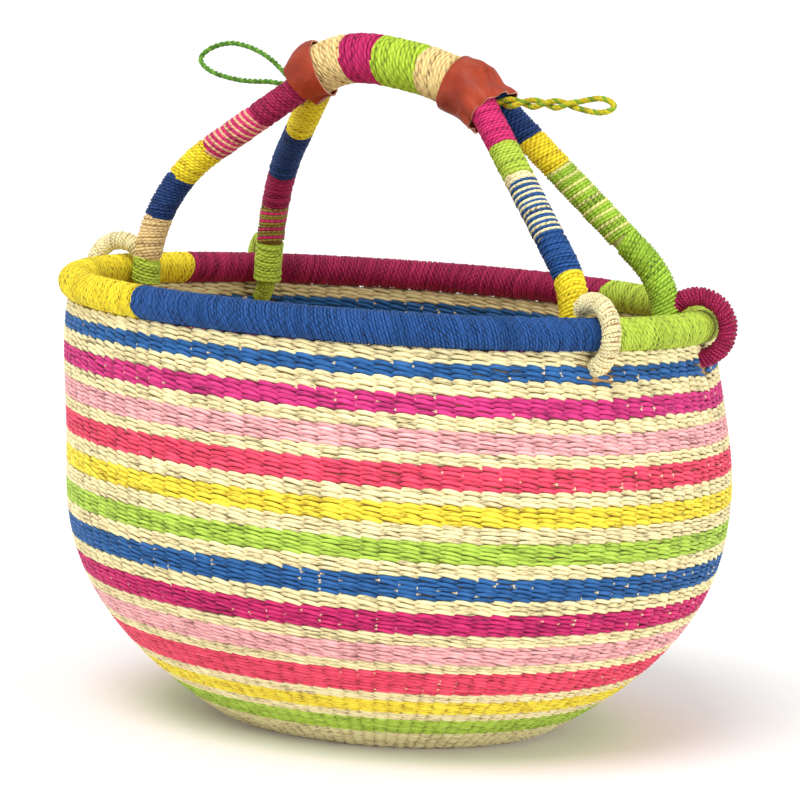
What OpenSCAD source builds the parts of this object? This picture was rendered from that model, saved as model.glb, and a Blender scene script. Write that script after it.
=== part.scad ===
// Round straw market basket with a wrapped rim, a two-hoop carrying handle,
// leather cuffs and two hanging loops. Millimetres, +Z up.
// Origin: centre of the flat underside. +X runs along the grip.

/* [Bowl] */
// Height of the woven wall, up to the underside of the rim
wall_h = 228; // [190:1:275]
// Outer radius of the flat base
base_r = 95; // [78:1:112]
// Outer radius at the belly, the widest ring of the bowl
belly_r = 188; // [184:0.5:228]
// Height of the belly as a share of the wall height
belly_share = 0.636; // [0.5:0.01:0.72]
// Roundness of the bowl below the belly, 2 is a parabola
bowl_power = 2.6; // [1.8:0.05:3]
// Thickness of the outer row of weaving
outer_weave_t = 1.8; // [1:0.1:3]
// Thickness of the upright stakes
stake_t = 2.2; // [1.2:0.1:3]
// Thickness of the inner row of weaving
inner_weave_t = 1.8; // [1:0.1:3]
// Number of upright stakes round the bowl
stake_count = 100; // [60:2:120]
// Width of one stake at the belly
stake_w = 4; // [2:0.1:5]

/* [Rim] */
// Radius of the rim's centreline
rim_r = 178; // [150:1:182]
// Radius of the rim bundle with its wrapping
rim_wrap_r = 9; // [7:0.1:11]
// Thickness of the straw wrapped round the rim bundle
rim_wrap_t = 1.6; // [1:0.1:2.5]
// Angles at which the rim changes colour
rim_stops = [80, 169, 255, 345, 440]; // [70:1:450]

/* [Handle] */
// Height of the grip's centreline above the rim's centreline
grip_rise = 134; // [112:1:160]
// Distance of the grip's middle from the basket's centre, along X
grip_x = -5; // [-15:1:15]
// Half of the length of the grip arch
grip_half = 60; // [57:1:72]
// Radius of the grip arch
grip_bend_r = 110; // [100:1:132]
// Radius of one hoop core
hoop_r = 5.4; // [4.5:0.1:6]
// Distance of each hoop core from the grip's middle plane
hoop_y = 6.8; // [6.6:0.1:8]
// Radius of a leg with its wrapping
leg_wrap_r = 8.2; // [7.2:0.1:8.5]
// Thickness of the straw wrapped round the grip
grip_wrap_t = 1.6; // [1:0.1:2.5]
// Radius of the bend at the foot of each left leg
left_bend_r = 92; // [74:1:98]
// Radius of the bend at the foot of each right leg
right_bend_r = 48; // [40:1:58]
// How far each leg runs on below the rim's centreline
leg_toe = 6; // [3:0.5:7]
// Angle round the rim of the left front foot
left_front_foot = 190; // [184:1:196]
// Angle round the rim of the left back foot
left_back_foot = 153; // [148:1:160]
// Angle round the rim of the right front foot
right_front_foot = -17; // [-26:1:-12]
// Angle round the rim of the right back foot
right_back_foot = 17; // [13:1:26]

/* [Eyes] */
// Radius of the bent end that makes the eye
eye_core_r = 3.6; // [3:0.1:4]
// Radius of the eye with its wrapping
eye_wrap_r = 6.2; // [5.2:0.1:6.6]
// Free space between the rim and the inside of an eye
eye_play = 2.4; // [2.2:0.1:4]

/* [Cuffs] */
// Thickness of the leather
leather_t = 1.8; // [1.2:0.1:2.2]
// Where the wrapping and the cuffs meet and change, along X from the grip's middle
grip_stops = [-52, -41, -17, 12, 33]; // [-56:1:56]
// Length of each cuff's flared mouth past the end of the grip
mouth_l = 6; // [4:0.5:8]
// Half of the width of the mouth
mouth_half_w = 20; // [19:0.1:23]

/* [Hanging loops] */
// Radius of the left loop's cord
left_cord_r = 1.6; // [1.2:0.1:1.8]
// Radius of the right loop's cord
right_cord_r = 1.7; // [1.2:0.1:1.8]

/* [Hidden] */
$fn = 64;
gap = 0.3;            // clearance between neighbouring pieces
thin_gap = 0.25;      // clearance between nested layers
stake_d = outer_weave_t + thin_gap;
inner_d = stake_d + stake_t + thin_gap;
wall_t = inner_d + inner_weave_t;
wall_top_r = rim_r + 4;
belly_z = wall_h * belly_share;
rim_z = wall_h + rim_wrap_r;
rim_core_r = rim_wrap_r - rim_wrap_t - thin_gap;

// The wall's outer radius and slope at height z
function outer_r(z) = z < belly_z
    ? base_r + (belly_r - base_r) * (1 - pow(1 - z / belly_z, bowl_power))
    : belly_r - (belly_r - wall_top_r) * pow((z - belly_z) / (wall_h - belly_z), 2);
function slope(z) = (outer_r(z + 0.01) - outer_r(z - 0.01)) / 0.02;
// A point at depth d behind the outer face, square to the wall
function wall_point(z, d) = let (k = sqrt(1 + slope(z) * slope(z)))
    [outer_r(z) - d / k, z + d * slope(z) / k];
// A closed outline of one layer of the wall between heights z0 and z1
function layer(z0, z1, d0, d1, step) =
    let (n = max(2, ceil((z1 - z0) / step)))
    concat(
        [for (i = [0 : n]) wall_point(z0 + (z1 - z0) * i / n, d0)],
        [for (i = [n : -1 : 0]) wall_point(z0 + (z1 - z0) * i / n, d1)]);

// Coloured stripes: name, lower and upper edge in hundredths of the wall height, colour
BANDS = [
    ["top_blue_band", 93.2, 96.7, "steelblue"],
    ["magenta_band", 84.9, 89.5, "mediumvioletred"],
    ["upper_pink_band", 76.6, 81.6, "pink"],
    ["upper_coral_band", 68.1, 73.7, "lightcoral"],
    ["upper_yellow_band", 59.9, 64.7, "gold"],
    ["upper_green_band", 51.1, 56.1, "yellowgreen"],
    ["middle_blue_band", 42.3, 47.6, "steelblue"],
    ["burgundy_band", 33.5, 38.6, "mediumvioletred"],
    ["lower_pink_band", 25.8, 30.3, "pink"],
    ["lower_coral_band", 17.4, 23.0, "lightcoral"],
    ["lower_yellow_band", 11.4, 14.6, "gold"],
    ["lower_green_band", 5.0, 8.9, "yellowgreen"]
];
band_count = len(BANDS);

// Four legs: foot angle, side along X, side along Y
LEFT_FRONT = 0;
LEFT_BACK = 1;
RIGHT_FRONT = 2;
RIGHT_BACK = 3;
LEGS = [
    [left_front_foot, -1, -1],
    [left_back_foot, -1, 1],
    [right_front_foot, 1, -1],
    [right_back_foot, 1, 1]
];

// Wrapping on the legs: name, leg, start and end as shares of its length, colour
LEG_WRAPS = [
    ["left_front_leg_green_wrap", LEFT_FRONT, 0, 0.15, "yellowgreen"],
    ["left_front_leg_natural_wrap", LEFT_FRONT, 0.15, 0.31, "wheat"],
    ["left_front_leg_blue_wrap", LEFT_FRONT, 0.31, 0.47, "steelblue"],
    ["left_front_leg_yellow_wrap", LEFT_FRONT, 0.47, 0.62, "gold"],
    ["left_front_leg_striped_wrap", LEFT_FRONT, 0.62, 0.82, "burlywood"],
    ["left_front_leg_burgundy_wrap", LEFT_FRONT, 0.82, 1, "mediumvioletred"],
    ["left_back_leg_green_wrap", LEFT_BACK, 0, 0.2, "yellowgreen"],
    ["left_back_leg_striped_wrap", LEFT_BACK, 0.2, 0.39, "burlywood"],
    ["left_back_leg_burgundy_wrap", LEFT_BACK, 0.39, 0.56, "mediumvioletred"],
    ["left_back_leg_blue_wrap", LEFT_BACK, 0.56, 0.83, "steelblue"],
    ["left_back_leg_yellow_wrap", LEFT_BACK, 0.83, 1, "gold"],
    ["right_front_leg_yellow_wrap", RIGHT_FRONT, 0, 0.17, "gold"],
    ["right_front_leg_blue_wrap", RIGHT_FRONT, 0.17, 0.4, "steelblue"],
    ["right_front_leg_striped_wrap", RIGHT_FRONT, 0.4, 0.685, "lightsteelblue"],
    ["right_front_leg_natural_wrap", RIGHT_FRONT, 0.685, 0.73, "wheat"],
    ["right_front_leg_green_wrap", RIGHT_FRONT, 0.73, 0.885, "yellowgreen"],
    ["right_front_leg_magenta_wrap", RIGHT_FRONT, 0.885, 1, "mediumvioletred"],
    ["right_back_leg_green_wrap", RIGHT_BACK, 0, 0.37, "yellowgreen"],
    ["right_back_leg_striped_wrap", RIGHT_BACK, 0.37, 0.7, "palegreen"],
    ["right_back_leg_yellow_wrap", RIGHT_BACK, 0.7, 0.89, "gold"],
    ["right_back_leg_navy_wrap", RIGHT_BACK, 0.89, 1, "midnightblue"]
];

// Wrapping on the eyes: name, leg, colour
EYE_WRAPS = [
    ["left_front_eye_wrap", LEFT_FRONT, "wheat"],
    ["left_back_eye_wrap", LEFT_BACK, "yellowgreen"],
    ["right_front_eye_wrap", RIGHT_FRONT, "wheat"],
    ["right_back_eye_wrap", RIGHT_BACK, "mediumvioletred"]
];

// Wrapping on the rim: name, colour
RIM_WRAPS = [
    ["rim_burgundy_wrap", "mediumvioletred"],
    ["rim_yellow_wrap", "gold"],
    ["rim_blue_wrap", "steelblue"],
    ["rim_lime_wrap", "yellowgreen"]
];

// Wrapping on the grip: name, colour
GRIP_WRAPS = [
    ["grip_left_natural_wrap", "wheat"],
    ["grip_burgundy_wrap", "mediumvioletred"],
    ["grip_green_wrap", "yellowgreen"],
    ["grip_right_natural_wrap", "wheat"]
];

// Grip arch and the ends where the legs begin
grip_wrap_r = hoop_y + hoop_r + 0.2 + grip_wrap_t;
grip_inner_r = grip_wrap_r - grip_wrap_t;
grip_end_z = grip_rise - grip_bend_r + sqrt(grip_bend_r * grip_bend_r - grip_half * grip_half);
function grip_angle(x) = asin(x / grip_bend_r);
function grip_end(leg) = [grip_x + leg[1] * grip_half, leg[2] * hoop_y];

// Each leg lies in an upright plane from its foot on the rim to its end of the grip.
// In that plane the rim's centreline is the origin and the leg's foot is the eye's inner side.
eye_r = rim_wrap_r + eye_play + eye_wrap_r;
function foot(leg) = rim_r * [cos(leg[0]), sin(leg[0])];
function reach(leg) = grip_end(leg) - foot(leg);
function leg_turn(leg) = atan2(reach(leg)[1], reach(leg)[0]);
function bend_r(leg) = leg[1] < 0 ? left_bend_r : right_bend_r;
function bend_to_end(leg) = [norm(reach(leg)) - eye_r - bend_r(leg), grip_end_z];
function bend_angle(leg) = let (v = bend_to_end(leg))
    180 - acos(bend_r(leg) / norm(v)) - atan2(v[1], v[0]);
function bend_l(leg) = bend_r(leg) * bend_angle(leg) * PI / 180;
function shank_l(leg) = let (v = bend_to_end(leg)) sqrt(v * v - bend_r(leg) * bend_r(leg));
function bend_end(leg) = [
    eye_r + bend_r(leg) * (1 - cos(bend_angle(leg))),
    bend_r(leg) * sin(bend_angle(leg))];
// Direction down a leg from its end of the grip
function leg_down(leg) = [
    -sin(bend_angle(leg)) * cos(leg_turn(leg)),
    -sin(bend_angle(leg)) * sin(leg_turn(leg)),
    -cos(bend_angle(leg))];
// How far below the grip the wrapping stops, where the two legs of a pair would touch
function wrap_cover(side) = let (
    pair = side < 0 ? [LEGS[LEFT_FRONT], LEGS[LEFT_BACK]] : [LEGS[RIGHT_FRONT], LEGS[RIGHT_BACK]],
    spread = leg_down(pair[0]) - leg_down(pair[1]),
    apart = [0, -2 * hoop_y, 0],
    need = 2 * leg_wrap_r + 2 * gap,
    a = spread * spread,
    b = apart * spread,
    c = apart * apart - need * need)
    (sqrt(b * b - a * c) - b) / a;
function wrap_l(leg) = leg_toe + bend_l(leg) + shank_l(leg) - wrap_cover(leg[1]);
// How far the middle of a pair of legs moves along Y for each millimetre down from the grip
function pair_drift(side) = side < 0
    ? (leg_down(LEGS[LEFT_FRONT])[1] + leg_down(LEGS[LEFT_BACK])[1]) / 2
    : (leg_down(LEGS[RIGHT_FRONT])[1] + leg_down(LEGS[RIGHT_BACK])[1]) / 2;

// Slots through the wall for the eyes
slot_w = 2 * (eye_wrap_r + 2);
slot_z = rim_z - eye_r - eye_wrap_r - eye_play;
slot_half_angle = atan2(slot_w / 2, rim_r);
stake_angle = stake_w / belly_r * 180 / PI;

turn_cut = 2;         // how far each length of core stops before the turn from grip to leg
slice_t = 0.1;        // thickness of the discs that shape the cuffs
eye_clear = 0.7;      // clearance between an eye's wrapping and the leg's
eye_open = 2;         // degrees that the ends of an eye's ring stop short of the leg
eye_cut_below = 30;   // the stretch of an eye that the leg's wrapping makes room for, in degrees
eye_cut_above = 80;
slot_reach = 30;      // how far a slot's cut reaches past the wall
stake_short = 1;      // how far the stakes under a slot stop below it
inner_step = 6;       // height of one step in the outline of each layer
stake_step = 12;
outer_step = 4;
cuff_sides = 36;
cuff_steps = 4;
cuff_play = 0.8;      // free space between a cuff and the grip's bundle
cut_past = 0.5;       // how far a cut runs past the face it opens

module in_leg_plane(leg) {
    translate([foot(leg)[0], foot(leg)[1], rim_z])
        rotate([90, 0, leg_turn(leg)])
            children();
}

// A bar or tube along the leg's path, from d0 to d1 along it, 0 at the rim's centreline.
// It is in two lengths that stop short of each other where the bend ends.
module leg_part(leg, d0, d1, r, hole = 0, split = gap / 2) {
    bend = bend_l(leg);
    if (d0 < bend - split) {
        a0 = d0 / bend_r(leg) * 180 / PI;
        a1 = min(d1, bend - split) / bend_r(leg) * 180 / PI;
        translate([eye_r + bend_r(leg), 0])
            rotate([0, 0, 180 - a1])
                rotate_extrude(angle = a1 - a0)
                    translate([bend_r(leg), 0])
                        ring_outline(r, hole);
    }
    if (d1 > bend + split) {
        s0 = max(d0 - bend, split);
        translate(bend_end(leg))
            rotate([0, 90, 90 - bend_angle(leg)])
                translate([0, 0, s0])
                    linear_extrude(d1 - bend - s0)
                        ring_outline(r, hole);
    }
}

module ring_outline(r, hole) {
    difference() {
        circle(r);
        if (hole > 0)
            circle(hole);
    }
}

module eye_slots() {
    for (leg = LEGS)
        rotate([0, 0, leg[0]])
            translate([rim_r - slot_reach, -slot_w / 2, slot_z])
                cube([2 * slot_reach, slot_w, wall_h - slot_z + slot_reach]);
}

module woven_base() {
    inner = wall_point(gap, wall_t);
    color("wheat")
        rotate_extrude()
            polygon([[0, 0], [base_r - gap, 0], [inner[0] - gap, inner[1]], [0, inner[1]]]);
}

module inner_weave() {
    color("burlywood")
        difference() {
            rotate_extrude()
                polygon(layer(gap, wall_h - gap, inner_d, wall_t, inner_step));
            eye_slots();
        }
}

// Stakes that meet a slot stop below it
function near_slot(a) = len([for (leg = LEGS)
    if (cos(a - leg[0]) > cos(slot_half_angle + stake_angle)) 1]) > 0;

module warp_stakes() {
    color("tan")
        for (i = [0 : stake_count - 1]) {
            a = i * 360 / stake_count;
            top = near_slot(a) ? slot_z - stake_short : wall_h - gap;
            rotate([90, 0, a])
                linear_extrude(stake_w, center = true)
                    polygon(layer(gap, top, stake_d, stake_d + stake_t, stake_step));
        }
}

// One ring of the outer weave between two shares of the wall height
module weave_ring(low, high) {
    z0 = max(low * wall_h / 100, 0) + gap / 2;
    z1 = min(high * wall_h / 100, wall_h - gap) - gap / 2;
    difference() {
        rotate_extrude()
            polygon(layer(z0, z1, 0, outer_weave_t, outer_step));
        if (z1 > slot_z)
            eye_slots();
    }
}

module band(b) {
    color(b[3])
        weave_ring(b[1], b[2]);
}

module natural_bands() {
    color("wheat")
        for (i = [0 : band_count]) {
            low = i == band_count ? 0 : BANDS[i][2];
            high = i == 0 ? 100 : BANDS[i - 1][1];
            weave_ring(low, high);
        }
}

module rim_core() {
    color("tan")
        translate([0, 0, rim_z])
            rotate_extrude()
                translate([rim_r, 0])
                    circle(rim_core_r);
}

module rim_wrap(i) {
    half_gap = gap / 2 / rim_r * 180 / PI;
    color(RIM_WRAPS[i][1])
        translate([0, 0, rim_z])
            rotate([0, 0, rim_stops[i] + half_gap])
                rotate_extrude(angle = rim_stops[i + 1] - rim_stops[i] - 2 * half_gap)
                    translate([rim_r, 0])
                        ring_outline(rim_wrap_r, rim_core_r + thin_gap);
}

// The cane of one leg in its bent and straight lengths, and the open ring that makes its eye
module leg_core(leg) {
    over = acos((eye_r - hoop_r - gap) / (eye_r + eye_core_r));
    under = asin((leg_toe + gap) / (eye_r - eye_core_r)) + eye_open;
    in_leg_plane(leg) {
        rotate([0, 0, over])
            rotate_extrude(angle = 360 - over - under)
                translate([eye_r, 0])
                    circle(eye_core_r);
        leg_part(leg, gap - leg_toe, bend_l(leg) + shank_l(leg) - turn_cut, hoop_r);
    }
}

// Thin discs that shape the cuffs
module disc(r) {
    cylinder(h = slice_t, r = r, center = true, $fn = cuff_sides);
}

// A disc square to the grip arch, x from its middle
module grip_disc(x, r) {
    translate([grip_x + x, 0, rim_z + grip_rise - grip_bend_r + sqrt(grip_bend_r * grip_bend_r - x * x)])
        rotate([0, 90 + grip_angle(x), 0])
            disc(r);
}

// Two legs, their eyes and the stretch of the grip between them
module hoop_core(left, right) {
    y = LEGS[left][2] * hoop_y;
    color("tan")
        union() {
            leg_core(LEGS[left]);
            leg_core(LEGS[right]);
            grip_arc(turn_cut - grip_half, grip_half - turn_cut, hoop_r, 0, y);
        }
}

module front_hoop_core() {
    hoop_core(LEFT_FRONT, RIGHT_FRONT);
}

module back_hoop_core() {
    hoop_core(LEFT_BACK, RIGHT_BACK);
}

// A bar or tube along the grip arch between two distances from its middle
module grip_arc(x0, x1, r, hole, y = 0) {
    translate([grip_x, y, rim_z + grip_rise - grip_bend_r])
        rotate([90, 0, 0])
            rotate([0, 0, 90 - grip_angle(x1)])
                rotate_extrude(angle = grip_angle(x1) - grip_angle(x0))
                    translate([grip_bend_r, 0])
                        ring_outline(r, hole);
}

module leg_wrap(w) {
    leg = LEGS[w[1]];
    start = w[2] * wrap_l(leg) - leg_toe + (w[2] > 0 ? gap / 2 : 0);
    end = w[3] * wrap_l(leg) - leg_toe - (w[3] < 1 ? gap / 2 : 0);
    color(w[4])
        difference() {
            in_leg_plane(leg)
                leg_part(leg, start, end, leg_wrap_r, hoop_r + thin_gap);
            if (w[2] == 0)
                in_leg_plane(leg)
                    rotate([0, 0, -eye_cut_below])
                        rotate_extrude(angle = eye_cut_below + eye_cut_above)
                            translate([eye_r, 0])
                                circle(eye_core_r + thin_gap);
        }
}

// The eye's wrapping starts over the leg and ends under it
module eye_wrap(e) {
    over = acos((eye_r - leg_wrap_r - eye_clear) / (eye_r + eye_wrap_r));
    under = asin((leg_toe + eye_clear) / (eye_r - eye_wrap_r)) + eye_open;
    color(e[2])
        in_leg_plane(LEGS[e[1]])
            rotate([0, 0, over])
                rotate_extrude(angle = 360 - over - under)
                    translate([eye_r, 0])
                        ring_outline(eye_wrap_r, eye_core_r + thin_gap);
}

module grip_wrap(i) {
    color(GRIP_WRAPS[i][1])
        grip_arc(grip_stops[i] + gap / 2, grip_stops[i + 1] - gap / 2, grip_wrap_r, grip_inner_r);
}

// Middle direction of the two legs of a pair, as a fall below level
function pair_fall(side) = let (
    leg = LEGS[side < 0 ? LEFT_BACK : RIGHT_BACK],
    a = 90 - bend_angle(leg),
    along = abs(cos(leg_turn(leg))))
    atan2(sin(a), cos(a) * along);

// A thin ellipse square to the pair of legs, t past the grip's end
module mouth_slice(side, t, half_w, half_h) {
    translate([grip_x + side * grip_half, 0, rim_z + grip_end_z])
        rotate([0, side * (90 + pair_fall(side)), 0])
            translate([0, t * pair_drift(side), t])
                scale([half_h, half_w, 1])
                    cylinder(h = slice_t, r = 1, center = true, $fn = cuff_sides);
}

// The cuff's form, from the grip's wrapping at x0 to the mouth, in even steps along the arch
module cuff_form(side, x0, r, half_w, extra) {
    x1 = side * grip_half;
    for (i = [0 : cuff_steps - 2])
        hull() {
            grip_disc(x0 + (x1 - x0) * i / (cuff_steps - 1), r);
            grip_disc(x0 + (x1 - x0) * (i + 1) / (cuff_steps - 1), r);
        }
    hull() {
        grip_disc(x1, r);
        mouth_slice(side, mouth_l + extra, half_w, r);
    }
}

module cuff(side) {
    inner_r = grip_inner_r + cuff_play;
    cuff_r = inner_r + leather_t;
    x0 = side < 0 ? grip_stops[0] - gap / 2 : grip_stops[4] + gap / 2;
    color("sienna")
        difference() {
            cuff_form(side, x0, cuff_r, mouth_half_w, 0);
            cuff_form(side, x0 - side * cut_past, inner_r, mouth_half_w - leather_t, cut_past);
            for (leg = LEGS)
                if (leg[1] == side)
                    leg_space(leg);
            cord_space(side);
        }
}

// Room for a leg's wrapping to pass through the cuff
module leg_space(leg) {
    in_leg_plane(leg)
        translate(bend_end(leg))
            rotate([0, 90, 90 - bend_angle(leg)])
                hull() {
                    translate([0, 0, shank_l(leg) - 4 * mouth_l])
                        disc(leg_wrap_r + gap);
                    translate([0, 0, shank_l(leg) - wrap_cover(leg[1]) + gap])
                        disc(leg_wrap_r + gap);
                }
}

// Room for the hanging loop's cord to pass through the cuff
module cord_space(side) {
    route = side < 0 ? LEFT_ROUTE : RIGHT_ROUTE;
    r = (side < 0 ? left_cord_r : right_cord_r) + gap;
    n = len(route) - 1;
    translate([0, 0, rim_z])
        for (i = [0, 1, n - 2, n - 1])
            hull() {
                translate(route[i])
                    sphere(r, $fn = 12);
                translate(route[i + 1])
                    sphere(r, $fn = 12);
            }
}

module left_cuff() {
    cuff(-1);
}

module right_cuff() {
    cuff(1);
}

// Routes of the two hanging loops: across X, along Y and height over the rim's centreline
LEFT_ROUTE = [
    [-78, 2, 117], [-84, 2.5, 118], [-92, 4, 123], [-101, 5.5, 128], [-111, 6.5, 132],
    [-121, 7, 134.5], [-131, 6, 135.5], [-140, 4, 133.5], [-146, 1, 129.5], [-147, -2, 125],
    [-142, -4, 121], [-134, -5, 118], [-124, -5, 116], [-114, -4.5, 115], [-104, -4, 115],
    [-95, -3, 115.5], [-86, -2.5, 115], [-79, -2, 115.5]
];
RIGHT_ROUTE = [
    [66.5, -2, 116], [71, -2, 114.6], [77, -2, 115], [84, -1.5, 117.5], [91, 2, 118.5],
    [98, 2, 115], [105, -1.5, 115.5], [112, -4, 119], [119, -4.5, 121.5], [127, -3, 122.5],
    [134, -1, 121.5], [138, 1, 118.5], [136, 3, 115.5], [130, 4.5, 113.5], [122, 5, 113],
    [114, 4, 114], [106, 1.5, 119], [98, -2, 119], [91, -2, 115], [84, 2, 114],
    [77, 2, 114], [71, 2, 114.4], [66.5, 2, 116]
];

// A round cord swept along a route, one ring of eight at each point
function unit(v) = v / norm(v);
function ahead(p, i) = unit(p[min(i + 1, len(p) - 1)] - p[max(i - 1, 0)]);
function cord_ring(p, i, r) = let (
    t = ahead(p, i),
    u = unit(cross(t, abs(t[1]) > 0.9 ? [0, 0, 1] : [0, 1, 0])),
    v = cross(t, u))
    [for (k = [0 : 7]) p[i] + r * (cos(k * 45) * u + sin(k * 45) * v)];

module cord(route, r) {
    n = len(route);
    points = [for (i = [0 : n - 1]) each cord_ring(route, i, r)];
    sides = [for (i = [0 : n - 2], k = [0 : 7], half = [0, 1]) let (
        a = i * 8 + k,
        b = i * 8 + (k + 1) % 8)
        half == 0 ? [a, b, b + 8] : [a, b + 8, a + 8]];
    ends = [[for (k = [7 : -1 : 0]) k], [for (k = [0 : 7]) (n - 1) * 8 + k]];
    translate([0, 0, rim_z])
        polyhedron(points, concat(sides, ends));
}

module left_hanging_loop() {
    color("yellowgreen")
        cord(LEFT_ROUTE, left_cord_r);
}

module right_hanging_loop() {
    color("gold")
        cord(RIGHT_ROUTE, right_cord_r);
}

woven_base();
inner_weave();
warp_stakes();
natural_bands();
rim_core();
for (b = BANDS) band(b);
for (i = [0 : 3]) rim_wrap(i);
front_hoop_core();
back_hoop_core();
for (w = LEG_WRAPS) leg_wrap(w);
for (e = EYE_WRAPS) eye_wrap(e);
for (i = [0 : 3]) grip_wrap(i);
left_cuff();
right_cuff();
left_hanging_loop();
right_hanging_loop();
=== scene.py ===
import math
import bmesh
import bpy
from mathutils import Matrix, Vector, noise


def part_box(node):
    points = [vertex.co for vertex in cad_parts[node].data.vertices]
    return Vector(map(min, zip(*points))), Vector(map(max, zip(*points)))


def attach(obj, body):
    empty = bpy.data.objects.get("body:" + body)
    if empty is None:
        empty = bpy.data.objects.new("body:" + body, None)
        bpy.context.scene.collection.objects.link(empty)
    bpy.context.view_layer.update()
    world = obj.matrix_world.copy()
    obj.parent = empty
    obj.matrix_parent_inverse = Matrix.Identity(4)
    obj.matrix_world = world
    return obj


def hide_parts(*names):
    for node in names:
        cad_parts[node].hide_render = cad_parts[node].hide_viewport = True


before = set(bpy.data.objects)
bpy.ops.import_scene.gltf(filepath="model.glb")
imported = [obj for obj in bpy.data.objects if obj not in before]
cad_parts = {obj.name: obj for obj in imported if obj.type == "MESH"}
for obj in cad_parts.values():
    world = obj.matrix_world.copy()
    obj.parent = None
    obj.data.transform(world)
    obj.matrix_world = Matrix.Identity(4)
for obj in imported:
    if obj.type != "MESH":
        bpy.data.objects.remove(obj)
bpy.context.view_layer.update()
print("frame loaded")

# places taken from the frame, all in metres
def nodeSpan(name, axis):
    low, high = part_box(name)
    return low[axis], high[axis]

rimLow, rimHigh = nodeSpan("rim_blue_wrap", 2)
rimZ = (rimLow + rimHigh) / 2
rimTube = (rimHigh - rimLow) / 2
coreTube = (nodeSpan("rim_core", 2)[1] - nodeSpan("rim_core", 2)[0]) / 2
rimRadius = nodeSpan("rim_core", 0)[1] - coreTube
wallHeight = rimLow

bowl = {
    "baseRadius": 0.095, "bellyRadius": 0.188, "bellyShare": 0.636, "power": 2.6,
    "topOver": 0.004,            # how far the wall's top stands outside the rim's centreline
    "outerDepth": 0.0016,        # middle of the outer row of straw, behind the wall's face
    "innerDepth": 0.0052,        # middle of the inner row
    "lean": 0.0105, "leanFrom": 0.135,   # the bowl leans to one side below its rim
    "columns": 112, "rowHeight": 0.00245,
}
handle = {
    "gripRise": 0.134, "gripX": -0.005, "gripHalf": 0.060, "gripBend": 0.110, "hoopY": 0.0068,
    "legRadius": 0.0082, "legToe": 0.006, "leftBend": 0.092, "rightBend": 0.048, "wrapEnd": 0.0045,
    "eyeRadius": 0.0062, "eyePlay": 0.0024, "gripRadius": 0.014,
    "over": 0.0002,              # how far a winding stands over the sleeve it replaces
    "ringShift": 0.0004, "ringRadius": 0.0172, "ringSlim": 0.0008, "ringFrom": 26, "ringTo": 352,
}
legs = {
    "leftFront": (190, -1, -1), "leftBack": (153, -1, 1),
    "rightFront": (-17, 1, -1), "rightBack": (17, 1, 1),
}
bellyZ = wallHeight * bowl["bellyShare"]
topRadius = rimRadius + bowl["topOver"]


def outerRadius(z):
    if z < bellyZ:
        rise = 1 - max(0.0, 1 - z / bellyZ) ** bowl["power"]
        return bowl["baseRadius"] + (bowl["bellyRadius"] - bowl["baseRadius"]) * rise
    above = (z - bellyZ) / (wallHeight - bellyZ)
    return bowl["bellyRadius"] - (bowl["bellyRadius"] - topRadius) * above ** 2


# a point of the wall's section, some depth behind its outer face
def wallPoint(z, depth):
    slope = (outerRadius(z + 1e-5) - outerRadius(z - 1e-5)) / 2e-5
    k = math.sqrt(1 + slope * slope)
    return Vector((outerRadius(z) - depth / k, 0, z + depth * slope / k))


def footPoint(leg):
    a = math.radians(legs[leg][0])
    return Vector((rimRadius * math.cos(a), rimRadius * math.sin(a), rimZ))


# camera, lights and floor
camera = {"distance": 2.1, "azimuth": 36.0, "rise": 6.5, "roll": 3.68, "lens": 167.4,
          "across": 0.0082, "height": 0.18}


def makeCamera():
    turn = math.radians(camera["azimuth"])
    rise = math.radians(camera["rise"])
    roll = math.radians(camera["roll"])
    back = Vector((math.sin(turn) * math.cos(rise), -math.cos(turn) * math.cos(rise), math.sin(rise)))
    right = Vector((math.cos(turn), math.sin(turn), 0))
    up = back.cross(right)
    target = right * camera["across"] + Vector((0, 0, camera["height"]))
    tiltedRight = right * math.cos(roll) + up * math.sin(roll)
    tiltedUp = up * math.cos(roll) - right * math.sin(roll)
    data = bpy.data.cameras.new("camera")
    data.lens = camera["lens"]
    data.sensor_width = 36
    data.clip_end = 900
    obj = bpy.data.objects.new("camera", data)
    bpy.context.scene.collection.objects.link(obj)
    obj.matrix_world = Matrix.Translation(target + back * camera["distance"]) @ Matrix(
        (tiltedRight, tiltedUp, back)).transposed().to_4x4()
    bpy.context.scene.camera = obj


makeCamera()

lighting = {"sky": 0.80, "sun": 1.75, "sunSoft": 34, "fill": 9}


def makeLight(name, kind, power, size, place, aim=(0, 0, 0.15)):
    data = bpy.data.lights.new(name, kind)
    data.energy = power
    if kind == "SUN":
        data.angle = math.radians(size)
    else:
        data.size = size
    obj = bpy.data.objects.new(name, data)
    obj.location = place
    obj.rotation_euler = (Vector(aim) - Vector(place)).to_track_quat("-Z", "Y").to_euler()
    bpy.context.scene.collection.objects.link(obj)


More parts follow.
